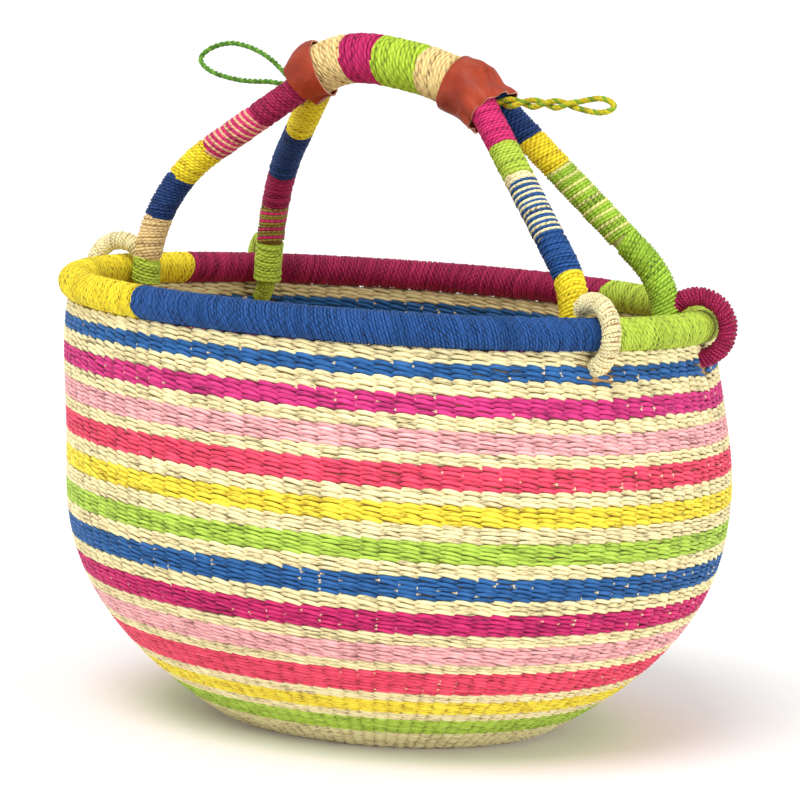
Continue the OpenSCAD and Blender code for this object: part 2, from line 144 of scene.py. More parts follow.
def makeStudio():
    world = bpy.data.worlds.new("studio")
    world.use_nodes = True
    background = world.node_tree.nodes["Background"]
    background.inputs["Color"].default_value = (1, 1, 1, 1)
    background.inputs["Strength"].default_value = lighting["sky"]
    bpy.context.scene.world = world
    bpy.context.scene.view_settings.view_transform = "Standard"
    turn = math.radians(camera["azimuth"])
    right = Vector((math.cos(turn), math.sin(turn), 0))
    front = Vector((math.sin(turn), -math.cos(turn), 0))
    makeLight("mainLight", "SUN", lighting["sun"], lighting["sunSoft"],
              right * -0.6 + front * 1.0 + Vector((0, 0, 1.9)))
    makeLight("fillSoftbox", "AREA", lighting["fill"], 1.2, right * 1.3 + front * 1.3 + Vector((0, 0, 0.5)))
    mesh = bpy.data.meshes.new("floor")
    corners = [(-1, -1), (1, -1), (1, 1), (-1, 1)]
    flat = [(x * 8, y * 8, 0) for x, y in corners]
    risen = [(x * 400, y * 400, 16) for x, y in corners]      # far away it rises a little past the horizon
    skirt = [(i, i + 4, (i + 1) % 4 + 4, (i + 1) % 4) for i in range(4)]
    mesh.from_pydata(flat + risen, [], [(0, 1, 2, 3)] + skirt)
    floor = bpy.data.objects.new("floor", mesh)
    bpy.context.scene.collection.objects.link(floor)
    paint = bpy.data.materials.new("palePaper")
    paint.use_nodes = True
    shader = paint.node_tree.nodes["Principled BSDF"]
    shader.inputs["Base Color"].default_value = (0.93, 0.93, 0.93, 1)
    shader.inputs["Roughness"].default_value = 0.8
    mesh.materials.append(paint)


makeStudio()
print("camera and studio made")


# small helpers for node trees
def newTree(name, inputs):
    tree = bpy.data.node_groups.new(name, "GeometryNodeTree")
    tree.interface.new_socket("Geometry", in_out="INPUT", socket_type="NodeSocketGeometry")
    for label, kind in inputs:
        tree.interface.new_socket(label, in_out="INPUT", socket_type="NodeSocket" + kind)
    tree.interface.new_socket("Geometry", in_out="OUTPUT", socket_type="NodeSocketGeometry")
    return tree, tree.nodes.new("NodeGroupInput").outputs


def put(tree, kind, wires=(), **settings):
    node = tree.nodes.new(kind)
    for key, value in settings.items():
        setattr(node, key, value)
    for key, value in dict(wires).items():
        socket = node.inputs[key]
        if isinstance(value, bpy.types.NodeSocket):
            tree.links.new(value, socket)
        else:
            socket.default_value = value
    return node


def calc(tree, operation, *values):
    return put(tree, "ShaderNodeMath", dict(enumerate(values)), operation=operation).outputs[0]


def vec(tree, operation, *values):
    node = put(tree, "ShaderNodeVectorMath", operation=operation)
    for index, value in enumerate(values):
        socket = node.inputs["Scale"] if operation == "SCALE" and index else node.inputs[index]
        if isinstance(value, bpy.types.NodeSocket):
            tree.links.new(value, socket)
        else:
            socket.default_value = value
    return node.outputs["Value" if operation in ("LENGTH", "DOT_PRODUCT") else "Vector"]


def xyz(tree, x, y, z):
    return put(tree, "ShaderNodeCombineXYZ", {0: x, 1: y, 2: z}).outputs[0]


def keep(tree, geometry, name, value, domain="POINT"):
    return put(tree, "GeometryNodeStoreNamedAttribute", {"Geometry": geometry, "Name": name, "Value": value},
               data_type="FLOAT", domain=domain).outputs[0]


def waver(tree, place, seed, rate):
    w = calc(tree, "ADD", calc(tree, "MULTIPLY", place, rate), calc(tree, "MULTIPLY", seed, 17.31))
    noise = put(tree, "ShaderNodeTexNoise", {"W": w, "Scale": 1.0, "Detail": 1.0}, noise_dimensions="1D")
    return calc(tree, "SUBTRACT", noise.outputs[0], 0.5)


def chance(tree, low, high, seed):
    node = put(tree, "FunctionNodeRandomValue", {2: low, 3: high, "Seed": seed}, data_type="FLOAT")
    return node.outputs[1]


def finishTree(tree, geometry, straw):
    smooth = put(tree, "GeometryNodeSetShadeSmooth", {"Geometry": geometry}).outputs[0]
    real = put(tree, "GeometryNodeRealizeInstances", {"Geometry": smooth}).outputs[0]
    dressed = put(tree, "GeometryNodeSetMaterial", {"Geometry": real, "Material": straw}).outputs[0]
    put(tree, "NodeGroupOutput", {0: dressed})
    return tree


# a piece whose mesh is a line of points, for a tree to build on
def lineObject(name, points):
    mesh = bpy.data.meshes.new(name)
    edges = [(i, i + 1) for i in range(len(points) - 1)]
    mesh.from_pydata([tuple(p) for p in points], edges, [])
    obj = bpy.data.objects.new(name, mesh)
    bpy.context.scene.collection.objects.link(obj)
    return obj


def bake(obj, tree, values):
    modifier = obj.modifiers.new("build", "NODES")
    modifier.node_group = tree
    for item in tree.interface.items_tree:
        if item.in_out == "INPUT" and item.name in values:
            modifier[item.identifier] = values[item.name]
    graph = bpy.context.evaluated_depsgraph_get()
    mesh = bpy.data.meshes.new_from_object(obj.evaluated_get(graph))
    obj.modifiers.clear()
    obj.data = mesh
    mesh.name = obj.name
    return obj


def leanAt(z):
    t = min(1.0, max(0.0, (rimZ - z) / (rimZ - bowl["leanFrom"])))
    return bowl["lean"] * t * t * (3 - 2 * t)


# the straight wall and base follow the bowl's lean
def leanOver(obj):
    turn = math.radians(camera["azimuth"])
    for vertex in obj.data.vertices:
        shift = leanAt(vertex.co.z)
        vertex.co.x += shift * math.cos(turn)
        vertex.co.y += shift * math.sin(turn)


def finishPiece(obj, body, nodes, leaning=False):
    if leaning:
        leanOver(obj)
    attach(obj, body)
    if nodes:
        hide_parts(*nodes)
    return obj


# tree: one straw wound round a path
def windingTree():
    tree, given = newTree("strawWinding", [
        ("Body Radius", "Float"), ("Straw Radius", "Float"), ("Pitch", "Float"), ("Start", "Float"),
        ("Slant", "Float"), ("Steps", "Int"), ("Sides", "Int"), ("Waver", "Float"), ("Seed", "Int"),
        ("Straw", "Material")])
    path = put(tree, "GeometryNodeMeshToCurve", {"Mesh": given["Geometry"]}).outputs[0]
    length = put(tree, "GeometryNodeCurveLength", {"Curve": path}).outputs[0]
    turns = calc(tree, "DIVIDE", length, given["Pitch"])
    count = calc(tree, "ADD", calc(tree, "ROUND", calc(tree, "MULTIPLY", turns, given["Steps"])), 1.0)
    line = put(tree, "GeometryNodeMeshLine", {"Count": count}, mode="OFFSET").outputs[0]
    index = put(tree, "GeometryNodeInputIndex").outputs[0]
    turn = calc(tree, "DIVIDE", index, given["Steps"])
    angle = calc(tree, "MULTIPLY", turn, 2 * math.pi)
    drift = calc(tree, "MULTIPLY", waver(tree, turn, given["Seed"], 1.3),
                 calc(tree, "MULTIPLY", given["Straw Radius"], 1.5))
    lean = calc(tree, "MULTIPLY", calc(tree, "SINE", angle), given["Slant"])
    shift = calc(tree, "DIVIDE", calc(tree, "ADD", given["Start"], calc(tree, "ADD", drift, lean)), length)
    share = calc(tree, "ADD", calc(tree, "DIVIDE", index, calc(tree, "SUBTRACT", count, 1.0)), shift)
    share = put(tree, "ShaderNodeClamp", {0: share}).outputs[0]
    here = put(tree, "GeometryNodeSampleCurve", {"Curves": path, "Factor": share},
               mode="FACTOR", use_all_curves=True).outputs
    side = vec(tree, "CROSS_PRODUCT", here["Tangent"], here["Normal"])
    reach = calc(tree, "SUBTRACT", given["Body Radius"], given["Straw Radius"])
    swell = calc(tree, "MULTIPLY", waver(tree, turn, given["Seed"], 0.83), given["Waver"])
    reach = calc(tree, "ADD", reach, swell)
    spoke = vec(tree, "ADD", vec(tree, "SCALE", here["Normal"], calc(tree, "COSINE", angle)),
                vec(tree, "SCALE", side, calc(tree, "SINE", angle)))
    place = vec(tree, "ADD", here["Position"], vec(tree, "SCALE", spoke, reach))
    line = put(tree, "GeometryNodeSetPosition", {"Geometry": line, "Position": place}).outputs[0]
    line = keep(tree, line, "along", turn)
    line = keep(tree, line, "tone", calc(tree, "ADD", waver(tree, turn, given["Seed"], 2.1), 0.5))
    straw = put(tree, "GeometryNodeMeshToCurve", {"Mesh": line}).outputs[0]
    ring = put(tree, "GeometryNodeCurvePrimitiveCircle",
               {"Resolution": given["Sides"], "Radius": 1.0}).outputs[0]
    ring = keep(tree, ring, "around", put(tree, "GeometryNodeSplineParameter").outputs[0])
    thick = calc(tree, "MULTIPLY", given["Straw Radius"],
                 calc(tree, "ADD", calc(tree, "MULTIPLY", waver(tree, turn, given["Seed"], 7.7), 0.5), 1.05))
    wound = put(tree, "GeometryNodeCurveToMesh",
                {"Curve": straw, "Profile Curve": ring, "Scale": thick, "Fill Caps": True}).outputs[0]
    inside = calc(tree, "SUBTRACT", given["Body Radius"], calc(tree, "MULTIPLY", given["Straw Radius"], 1.25))
    tube = put(tree, "GeometryNodeCurvePrimitiveCircle", {"Resolution": 24, "Radius": inside})
    bed = put(tree, "GeometryNodeCurveToMesh",
              {"Curve": path, "Profile Curve": tube.outputs[0], "Fill Caps": True}).outputs[0]
    both = put(tree, "GeometryNodeJoinGeometry")
    tree.links.new(wound, both.inputs[0])
    tree.links.new(bed, both.inputs[0])
    return finishTree(tree, both.outputs[0], given["Straw"])


# tree: rows of twined straws round a section line
def twiningTree():
    tree, given = newTree("twinedRows", [
        ("Rows", "Int"), ("Columns", "Int"), ("Straw Length", "Float"), ("Row Height", "Float"),
        ("Nominal Pitch", "Float"), ("Bulge", "Float"), ("Points", "Int"), ("Sides", "Int"),
        ("Facing", "Float"), ("Holes", "Object"), ("Hole Radius", "Float"), ("Seed", "Int"),
        ("Straw", "Material")])
    path = put(tree, "GeometryNodeMeshToCurve", {"Mesh": given["Geometry"]}).outputs[0]
    total = calc(tree, "MULTIPLY", given["Rows"], given["Columns"])
    points = put(tree, "GeometryNodePoints", {"Count": total}).outputs[0]
    index = put(tree, "GeometryNodeInputIndex").outputs[0]
    row = calc(tree, "FLOOR", calc(tree, "DIVIDE", calc(tree, "ADD", index, 0.5), given["Columns"]))
    column = calc(tree, "SUBTRACT", index, calc(tree, "MULTIPLY", row, given["Columns"]))
    share = calc(tree, "DIVIDE", calc(tree, "ADD", row, 0.5), given["Rows"])
    here = put(tree, "GeometryNodeSampleCurve", {"Curves": path, "Factor": share},
               mode="FACTOR", use_all_curves=True).outputs
    turn = calc(tree, "DIVIDE", calc(tree, "MULTIPLY", column, 2 * math.pi), given["Columns"])
    outward = vec(tree, "CROSS_PRODUCT", (0.0, 1.0, 0.0), here["Tangent"])
    outward = vec(tree, "SCALE", outward, given["Facing"])
    radius = put(tree, "ShaderNodeSeparateXYZ", {0: here["Position"]}).outputs[0]

    def spun(vector):
        return put(tree, "ShaderNodeVectorRotate", {"Vector": vector, "Angle": turn},
                   rotation_type="Z_AXIS").outputs[0]

    face = spun(outward)
    climb = spun(here["Tangent"])
    across = vec(tree, "CROSS_PRODUCT", climb, face)
    place = spun(here["Position"])
    stray = calc(tree, "MULTIPLY", chance(tree, -0.09, 0.09, given["Seed"]), given["Row Height"])
    place = vec(tree, "ADD", place, vec(tree, "SCALE", climb, stray))
    slip = calc(tree, "MULTIPLY", chance(tree, -0.035, 0.035, calc(tree, "ADD", given["Seed"], 5.0)),
                given["Nominal Pitch"])
    place = vec(tree, "ADD", place, vec(tree, "SCALE", across, slip))
    holes = put(tree, "GeometryNodeObjectInfo", {"Object": given["Holes"]}).outputs["Geometry"]
    near = put(tree, "GeometryNodeProximity", {"Target": holes, "Source Position": place},
               target_element="POINTS").outputs
    away = vec(tree, "SUBTRACT", place, near["Position"])
    far = vec(tree, "LENGTH", away)
    pushed = calc(tree, "SQRT", calc(tree, "ADD", calc(tree, "MULTIPLY", far, far),
                                     calc(tree, "MULTIPLY", given["Hole Radius"], given["Hole Radius"])))
    moved = vec(tree, "ADD", near["Position"], vec(tree, "SCALE", away, calc(tree, "DIVIDE", pushed, far)))
    mixed = put(tree, "ShaderNodeMix", {0: near["Is Valid"], 4: place, 5: moved},
                data_type="VECTOR").outputs[1]
    points = put(tree, "GeometryNodeSetPosition", {"Geometry": points, "Position": mixed}).outputs[0]
    tilt = chance(tree, -0.07, 0.07, calc(tree, "ADD", given["Seed"], 21.0))
    along = vec(tree, "ADD", across, vec(tree, "SCALE", climb, tilt))
    spin = put(tree, "FunctionNodeAxesToRotation", {"Primary Axis": face, "Secondary Axis": along},
               primary_axis="Z", secondary_axis="X").outputs[0]
    pitch = calc(tree, "DIVIDE", calc(tree, "MULTIPLY", radius, 2 * math.pi), given["Columns"])
    stretch = calc(tree, "DIVIDE", pitch, given["Nominal Pitch"])
    fat = chance(tree, 0.82, 1.12, calc(tree, "ADD", given["Seed"], 9.0))
    # one straw, where it passes over a stake: it comes up steeply and lies down flat
    line = put(tree, "GeometryNodeMeshLine", {"Count": given["Points"]}, mode="OFFSET").outputs[0]
    step = calc(tree, "DIVIDE", put(tree, "GeometryNodeInputIndex").outputs[0],
                calc(tree, "SUBTRACT", given["Points"], 1.0))
    swing = calc(tree, "MULTIPLY", calc(tree, "SUBTRACT", step, 0.25), 3.2)
    fall = calc(tree, "MULTIPLY", calc(tree, "COSINE", swing), 0.42)
    rise = calc(tree, "MULTIPLY", calc(tree, "POWER", step, 0.75), math.pi)
    hump = calc(tree, "SUBTRACT", calc(tree, "SINE", rise), 0.4)
    centre = xyz(tree, calc(tree, "MULTIPLY", calc(tree, "SUBTRACT", step, 0.5), given["Straw Length"]),
                 calc(tree, "MULTIPLY", fall, given["Row Height"]),
                 calc(tree, "MULTIPLY", hump, given["Bulge"]))
    line = put(tree, "GeometryNodeSetPosition", {"Geometry": line, "Position": centre}).outputs[0]
    line = keep(tree, line, "along", step)
    fromMiddle = calc(tree, "ABSOLUTE", calc(tree, "SUBTRACT", calc(tree, "MULTIPLY", step, 2.0), 1.0))
    taper = calc(tree, "SUBTRACT", 1.0, calc(tree, "MULTIPLY", calc(tree, "POWER", fromMiddle, 3.0), 0.7))
    half = calc(tree, "MULTIPLY", calc(tree, "MULTIPLY", given["Row Height"], 0.5), taper)
    strand = put(tree, "GeometryNodeMeshToCurve", {"Mesh": line}).outputs[0]
    ring = put(tree, "GeometryNodeCurvePrimitiveCircle",
               {"Resolution": given["Sides"], "Radius": 1.0}).outputs[0]
    ring = keep(tree, ring, "around", put(tree, "GeometryNodeSplineParameter").outputs[0])
    straw = put(tree, "GeometryNodeCurveToMesh",
                {"Curve": strand, "Profile Curve": ring, "Scale": half, "Fill Caps": True}).outputs[0]
    rows = put(tree, "GeometryNodeInstanceOnPoints", {
        "Points": points, "Instance": straw, "Rotation": spin,
        "Scale": xyz(tree, stretch, fat, 0.75)}).outputs[0]
    tone = chance(tree, 0.0, 1.0, calc(tree, "ADD", given["Seed"], 3.0))
    rows = keep(tree, rows, "tone", tone, "INSTANCE")
    return finishTree(tree, rows, given["Straw"])


winding = windingTree()
twining = twiningTree()


# materials
def linear(red, green, blue):
    def one(v):
        v = v / 255
        return v / 12.92 if v <= 0.04045 else ((v + 0.055) / 1.055) ** 2.4
    return (one(red), one(green), one(blue), 1)


# colours of the dyed straw
strawColours = {
    "natural": (242, 224, 170), "tan": (228, 194, 136), "blue": (34, 92, 152), "navy": (12, 50, 106),
    "deepBlue": (20, 72, 134), "magenta": (204, 48, 122), "burgundy": (152, 12, 70), "wine": (200, 34, 104),
    "pink": (244, 174, 174), "coral": (234, 70, 100), "yellow": (246, 218, 62), "gold": (238, 208, 34),
    "green": (172, 202, 74), "lime": (172, 194, 62), "grass": (152, 188, 52), "peach": (234, 172, 136),
    "olive": (142, 122, 44), "ropeGreen": (96, 160, 52), "ropeLime": (128, 184, 62),
    "ropeGold": (240, 214, 40), "gripTan": (232, 198, 134), "gripWine": (184, 22, 92),
    "gripLime": (170, 198, 50), "bedTan": (176, 136, 84), "paleLime": (216, 216, 128),
}


def strawMaterial(name, colour, weave=False, fleck=0.0):
    material = bpy.data.materials.new(name)
    material.use_nodes = True
    tree = material.node_tree
    shader = tree.nodes["Principled BSDF"]

    def read(attribute):
        return put(tree, "ShaderNodeAttribute", attribute_name=attribute,
                   attribute_type="GEOMETRY").outputs["Fac"]

    along = read("along")
    around = read("around")
    tone = read("tone")
    if not weave:        # on a winding every turn has a tone of its own
        turn = calc(tree, "FLOOR", along)
        tone = put(tree, "ShaderNodeTexWhiteNoise", {"W": turn}, noise_dimensions="1D").outputs["Value"]
    slope = calc(tree, "MULTIPLY", along, 2.5)
    where = xyz(tree, calc(tree, "MULTIPLY", along, 3.0 if weave else 8.0),
                calc(tree, "ADD", calc(tree, "MULTIPLY", around, 8.0), slope),
                calc(tree, "MULTIPLY", tone, 40.0))
    fibre = put(tree, "ShaderNodeTexNoise",
                {"Vector": where, "Scale": 1.0, "Detail": 3.0, "Roughness": 0.65}).outputs[0]
    base = linear(*strawColours[colour])
    dark = tuple(c * (0.16 if i < 3 else 1) for i, c in enumerate(base))
    light = tuple(min(1.0, c * 1.45 + 0.02) if i < 3 else 1 for i, c in enumerate(base))
    mixIn = calc(tree, "ADD", calc(tree, "MULTIPLY", fibre, 1.7), calc(tree, "MULTIPLY", tone, 0.35))
    mixIn = calc(tree, "SUBTRACT", mixIn, 0.5)
    if not weave:        # each straw is twisted of two thinner ones; the lay is bumped into the surface, and in the colour its grooves get painted shade and its ridges painted highlight
        lay = calc(tree, "ADD", calc(tree, "MULTIPLY", along, 15.37), around)
        plyBumpAndPaintedLight = calc(tree, "SINE", calc(tree, "MULTIPLY", lay, 2 * math.pi))
        mixIn = calc(tree, "ADD", mixIn, calc(tree, "MULTIPLY", plyBumpAndPaintedLight, 0.2))
        fibre = calc(tree, "ADD", fibre, calc(tree, "MULTIPLY", plyBumpAndPaintedLight, 0.5))
    if weave:
        # painted shade: each stroke's colour darkens towards its ends, where it tucks under the strokes
        # beside it
        edge = calc(tree, "ABSOLUTE", calc(tree, "SUBTRACT", along, 0.45))
        mixIn = calc(tree, "SUBTRACT", mixIn, calc(tree, "MULTIPLY", calc(tree, "POWER", edge, 2.0), 1.1))
    ramp = put(tree, "ShaderNodeValToRGB", {0: mixIn})
    ramp.color_ramp.elements[0].position = 0.0
    ramp.color_ramp.elements[0].color = dark
    ramp.color_ramp.elements[1].position = 1.0
    ramp.color_ramp.elements[1].color = light
    middle = ramp.color_ramp.elements.new(0.42)
    middle.color = base
    colourOut = ramp.outputs[0]
    if fleck:
        end = calc(tree, "GREATER_THAN", calc(tree, "ABSOLUTE", calc(tree, "SUBTRACT", along, 0.5)), 0.33)
        pick = calc(tree, "MULTIPLY", end, calc(tree, "GREATER_THAN", tone, 1 - fleck))
        colourOut = put(tree, "ShaderNodeMix", {0: pick, 6: colourOut, 7: linear(236, 214, 168)},
                        data_type="RGBA").outputs[2]
    tree.links.new(colourOut, shader.inputs["Base Color"])
    bump = put(tree, "ShaderNodeBump", {"Height": fibre, "Strength": 0.7, "Distance": 0.0005}).outputs[0]
    tree.links.new(bump, shader.inputs["Normal"])
    shader.inputs["Roughness"].default_value = 0.6
    shader.inputs["Specular IOR Level"].default_value = 0.28
    return material


straws = {colour: strawMaterial(colour + "Straw", colour) for colour in strawColours}
# in each dyed stripe, the share of strokes that end in undyed straw
flecks = {"natural": 0, "blue": 0.14, "magenta": 0.1, "pink": 0, "coral": 0.06, "yellow": 0, "green": 0,
          "wine": 0.1}
for colour, fleck in flecks.items():
    straws[colour + "Band"] = strawMaterial(colour + "BandStraw", colour, True, fleck)

# the woven wall
weave = {"points": 6, "sides": 5, "innerPoints": 5, "innerSides": 4, "overlap": 1.42, "bulge": 0.0011,
         "rowCover": 1.16,            # how much of the next row each stroke covers
         "innerFlat": 0.5, "holeRadius": 0.0070, "holeHeight": 0.2185}
bands = {
    "top_blue_band": ("blueBand", "blue_straw"), "magenta_band": ("magentaBand", "magenta_straw"),
    "upper_pink_band": ("pinkBand", "pink_straw"), "upper_coral_band": ("coralBand", "coral_straw"),
    "upper_yellow_band": ("yellowBand", "yellow_straw"), "upper_green_band": ("greenBand", "green_straw"),
    "middle_blue_band": ("blueBand", "blue_straw"), "burgundy_band": ("wineBand", "burgundy_straw"),
    "lower_pink_band": ("pinkBand", "pink_straw"), "lower_coral_band": ("coralBand", "coral_straw"),
    "lower_yellow_band": ("yellowBand", "yellow_straw"), "lower_green_band": ("greenBand", "green_straw"),
}
nominalPitch = 2 * math.pi * bowl["bellyRadius"] / bowl["columns"]
holes = lineObject("eyeHoles", [
    Vector((footPoint(leg).x, footPoint(leg).y, 0)).normalized() * outerRadius(weave["holeHeight"])
    + Vector((0, 0, weave["holeHeight"])) for leg in legs])


def sectionLine(z0, z1, depth, steps=8):
    return [wallPoint(z0 + (z1 - z0) * i / steps, depth) for i in range(steps + 1)]


def lineLength(points):
    return sum((b - a).length for a, b in zip(points, points[1:]))


def weaveRing(name, z0, z1, inside, straw, seed):
    line = sectionLine(z0, z1, bowl["innerDepth"] if inside else bowl["outerDepth"])
    obj = lineObject(name, line)
    length = lineLength(line)
    rows = max(1, round(length / bowl["rowHeight"]))
    return bake(obj, twining, {
        "Rows": rows, "Columns": bowl["columns"], "Straw Length": nominalPitch * weave["overlap"],
        "Row Height": length / rows * weave["rowCover"], "Nominal Pitch": nominalPitch,
        "Bulge": weave["bulge"] * (weave["innerFlat"] if inside else 1.0),
        "Points": weave["innerPoints" if inside else "points"],
        "Sides": weave["innerSides" if inside else "sides"],
        "Facing": -1.0 if inside else 1.0, "Holes": holes, "Hole Radius": weave["holeRadius"],
        "Seed": seed, "Straw": straws[straw]})


edges = []
for node in bands:
    low, high = nodeSpan(node, 2)
    edges.append((low, high, node))
edges.sort()
naturals = []
last = 0.0006
for low, high, node in edges:
    naturals.append((last, low))
    last = high
naturals.append((last, wallHeight - 0.0005))

for number, (low, high, node) in enumerate(edges):
    straw, slot = bands[node]
    finishPiece(weaveRing(node + "_straw", low, high, False, straw, 10 + number),
                "basket", [node], True)
    finishPiece(weaveRing(node + "_inside", low, high, True, straw, 40 + number),
                "basket", ["inner_weave"], True)
for number, (low, high) in enumerate(naturals):
    finishPiece(weaveRing(f"natural_rows_{number + 1}", low, high, False, "naturalBand", 70 + number),
                "basket", ["natural_bands"], True)
    finishPiece(weaveRing(f"natural_inside_{number + 1}", low, high, True, "naturalBand", 100 + number),
                "basket", ["inner_weave"], True)
print("wall woven")


# a closed shell turned round the middle
def turned(name, outline, material, steps=128):
    mesh = bpy.data.meshes.new(name)
    form = bmesh.new()
    rings = []
    for i in range(steps):
        a = 2 * math.pi * i / steps
        rings.append([form.verts.new((p.x * math.cos(a), p.x * math.sin(a), p.z)) for p in outline])
    for i in range(steps):
        one, two = rings[i], rings[(i + 1) % steps]
        for k in range(len(outline)):
            form.faces.new((one[k], two[k], two[(k + 1) % len(outline)], one[(k + 1) % len(outline)]))
    bmesh.ops.remove_doubles(form, verts=form.verts, dist=1e-6)
    bmesh.ops.recalc_face_normals(form, faces=form.faces)
    form.to_mesh(mesh)
    form.free()
    for polygon in mesh.polygons:
        polygon.use_smooth = True
    obj = bpy.data.objects.new(name, mesh)
    bpy.context.scene.collection.objects.link(obj)
    mesh.materials.append(material)
    return obj


# a thin backing between the two faces of the weave
bed = {"low": 0.001, "high": wallHeight - 0.002, "front": 0.0024, "back": 0.0041, "steps": 40}


def bedFace(depth):
    return [wallPoint(bed["low"] + (bed["high"] - bed["low"]) * i / bed["steps"], depth)
            for i in range(bed["steps"] + 1)]


wallBed = turned("wall_bed", bedFace(bed["front"]) + bedFace(bed["back"])[::-1], straws["bedTan"])
finishPiece(wallBed, "basket", ["warp_stakes"], True)


# base
def baseRing(name, r0, r1, z, columns, facing, seed):
    a, b = Vector((r0, 0, z)), Vector((r1, 0, z))
    line = [a.lerp(b, i / 6) for i in range(7)]
    rows = max(1, round((r1 - r0) / bowl["rowHeight"]))
    return bake(lineObject(name, line), twining, {
        "Rows": rows, "Columns": columns, "Straw Length": 2 * math.pi * r1 / columns * weave["overlap"],
        "Row Height": (r1 - r0) / rows * 1.12, "Nominal Pitch": 2 * math.pi * r1 / columns,
        "Bulge": 0.0008, "Points": 6, "Sides": 5, "Facing": facing, "Hole Radius": 0.0,
        "Seed": seed, "Straw": straws["naturalBand"]})


baseTop = nodeSpan("woven_base", 2)[1]
# inner and outer radius of each ring of the base, and its columns of strokes
baseRings = [(0.004, 0.024, 14), (0.024, 0.050, 34), (0.050, 0.0925, 68)]
for number, (r0, r1, columns) in enumerate(baseRings):
    under = baseRing(f"base_under_{number + 1}", r0, r1, 0.0012, columns, 1.0, 130 + number)
    finishPiece(under, "basket", ["woven_base"], True)
    inside = baseRing(f"base_inside_{number + 1}", r0, r1 - 0.004, baseTop - 0.0008, columns, -1.0,
                      140 + number)
    finishPiece(inside, "basket", ["woven_base"], True)
finishPiece(turned("base_bed", [Vector((0, 0, 0.0014)), Vector((0.091, 0, 0.0014)),
                                Vector((0.0885, 0, baseTop - 0.001)), Vector((0, 0, baseTop - 0.001))],
                   straws["natural"]), "basket", ["woven_base"], True)
print("base woven")


# paths of the handle
def gripEnd(leg):
    sideX, sideY = legs[leg][1], legs[leg][2]
    drop = handle["gripBend"] - math.sqrt(handle["gripBend"] ** 2 - handle["gripHalf"] ** 2)
    return Vector((handle["gripX"] + sideX * handle["gripHalf"], sideY * handle["hoopY"],
                   rimZ + handle["gripRise"] - drop))


eyeBend = rimTube + handle["eyePlay"] + handle["eyeRadius"]


class LegPath:
    def __init__(self, leg):
        self.foot = footPoint(leg)
        end = gripEnd(leg)
        flat = Vector((end.x - self.foot.x, end.y - self.foot.y, 0))
        self.along = flat.normalized()
        self.bend = handle["leftBend" if legs[leg][1] < 0 else "rightBend"]
        v = Vector((flat.length - eyeBend - self.bend, end.z - rimZ))
        self.angle = math.pi - math.acos(self.bend / v.length) - math.atan2(v.y, v.x)
        self.bendLength = self.bend * self.angle
        self.shank = math.sqrt(v.length ** 2 - self.bend ** 2)
        self.total = handle["legToe"] + self.bendLength + self.shank - handle["wrapEnd"]

    def place(self, s, z):
        return self.foot + self.along * s + Vector((0, 0, z))

    def at(self, d):
        if d < self.bendLength:
            a = d / self.bend
            return self.place(eyeBend + self.bend * (1 - math.cos(a)), self.bend * math.sin(a))
        rest = d - self.bendLength
        a = self.angle
        return self.place(eyeBend + self.bend * (1 - math.cos(a)) + rest * math.sin(a),
                          self.bend * math.sin(a) + rest * math.cos(a))

    def stretch(self, d0, d1, step=0.004):
        n = max(2, round((d1 - d0) / step))
        return [self.at(d0 + (d1 - d0) * i / n) for i in range(n + 1)]


paths = {leg: LegPath(leg) for leg in legs}


def wound(name, points, radius, straw, seed, pitch=0.0019, slant=0.0024, steps=18, strands=1, number=0):
    return bake(lineObject(name, points), winding, {
        "Body Radius": radius, "Straw Radius": pitch * 0.52, "Pitch": pitch * strands,
        "Start": pitch * number,
        "Slant": slant, "Steps": steps, "Sides": 6, "Waver": 0.0009, "Seed": seed, "Straw": straws[straw]})


legWraps = [
    ("left_front_leg_green_wrap", "leftFront", 0, 0.09, "lime", "lime_straw"),
    ("left_front_leg_natural_wrap", "leftFront", 0.09, 0.25, "tan", "natural_straw"),
    ("left_front_leg_blue_wrap", "leftFront", 0.25, 0.425, "navy", "blue_straw"),
    ("left_front_leg_yellow_wrap", "leftFront", 0.425, 0.58, "gold", "gold_straw"),
    ("left_front_leg_striped_wrap", "leftFront", 0.58, 0.81, ("peach", "wine"), "striped_straw"),
    ("left_front_leg_burgundy_wrap", "leftFront", 0.81, 1.05, "burgundy", "burgundy_straw"),
    ("left_back_leg_green_wrap", "leftBack", 0, 0.14, "lime", "lime_straw"),
    ("left_back_leg_striped_wrap", "leftBack", 0.14, 0.29, ("olive", "wine", "olive"), "striped_straw"),
    ("left_back_leg_burgundy_wrap", "leftBack", 0.29, 0.435, "burgundy", "burgundy_straw"),
    ("left_back_leg_blue_wrap", "leftBack", 0.435, 0.71, "navy", "navy_straw"),
    ("left_back_leg_yellow_wrap", "leftBack", 0.71, 1.05, "gold", "gold_straw"),
    ("right_front_leg_yellow_wrap", "rightFront", 0, 0.22, "gold", "gold_straw"),
    ("right_front_leg_blue_wrap", "rightFront", 0.22, 0.376, "deepBlue", "blue_straw"),
    ("right_front_leg_striped_wrap", "rightFront", 0.376, 0.63, ("deepBlue", "natural"), "striped_straw"),
    ("right_front_leg_natural_wrap", "rightFront", 0.63, 0.66, "natural", "natural_straw"),
    ("right_front_leg_green_wrap", "rightFront", 0.66, 0.80, "lime", "lime_straw"),
    ("right_front_leg_magenta_wrap", "rightFront", 0.80, 1.05, "wine", "burgundy_straw"),
    ("right_back_leg_green_wrap", "rightBack", 0, 0.37, "grass", "lime_straw"),
    ("right_back_leg_striped_wrap", "rightBack", 0.37, 0.7, ("grass", "grass", "paleLime"), "striped_straw"),
    ("right_back_leg_yellow_wrap", "rightBack", 0.7, 0.84, "gold", "gold_straw"),
    ("right_back_leg_navy_wrap", "rightBack", 0.84, 1.05, "navy", "navy_straw"),
]
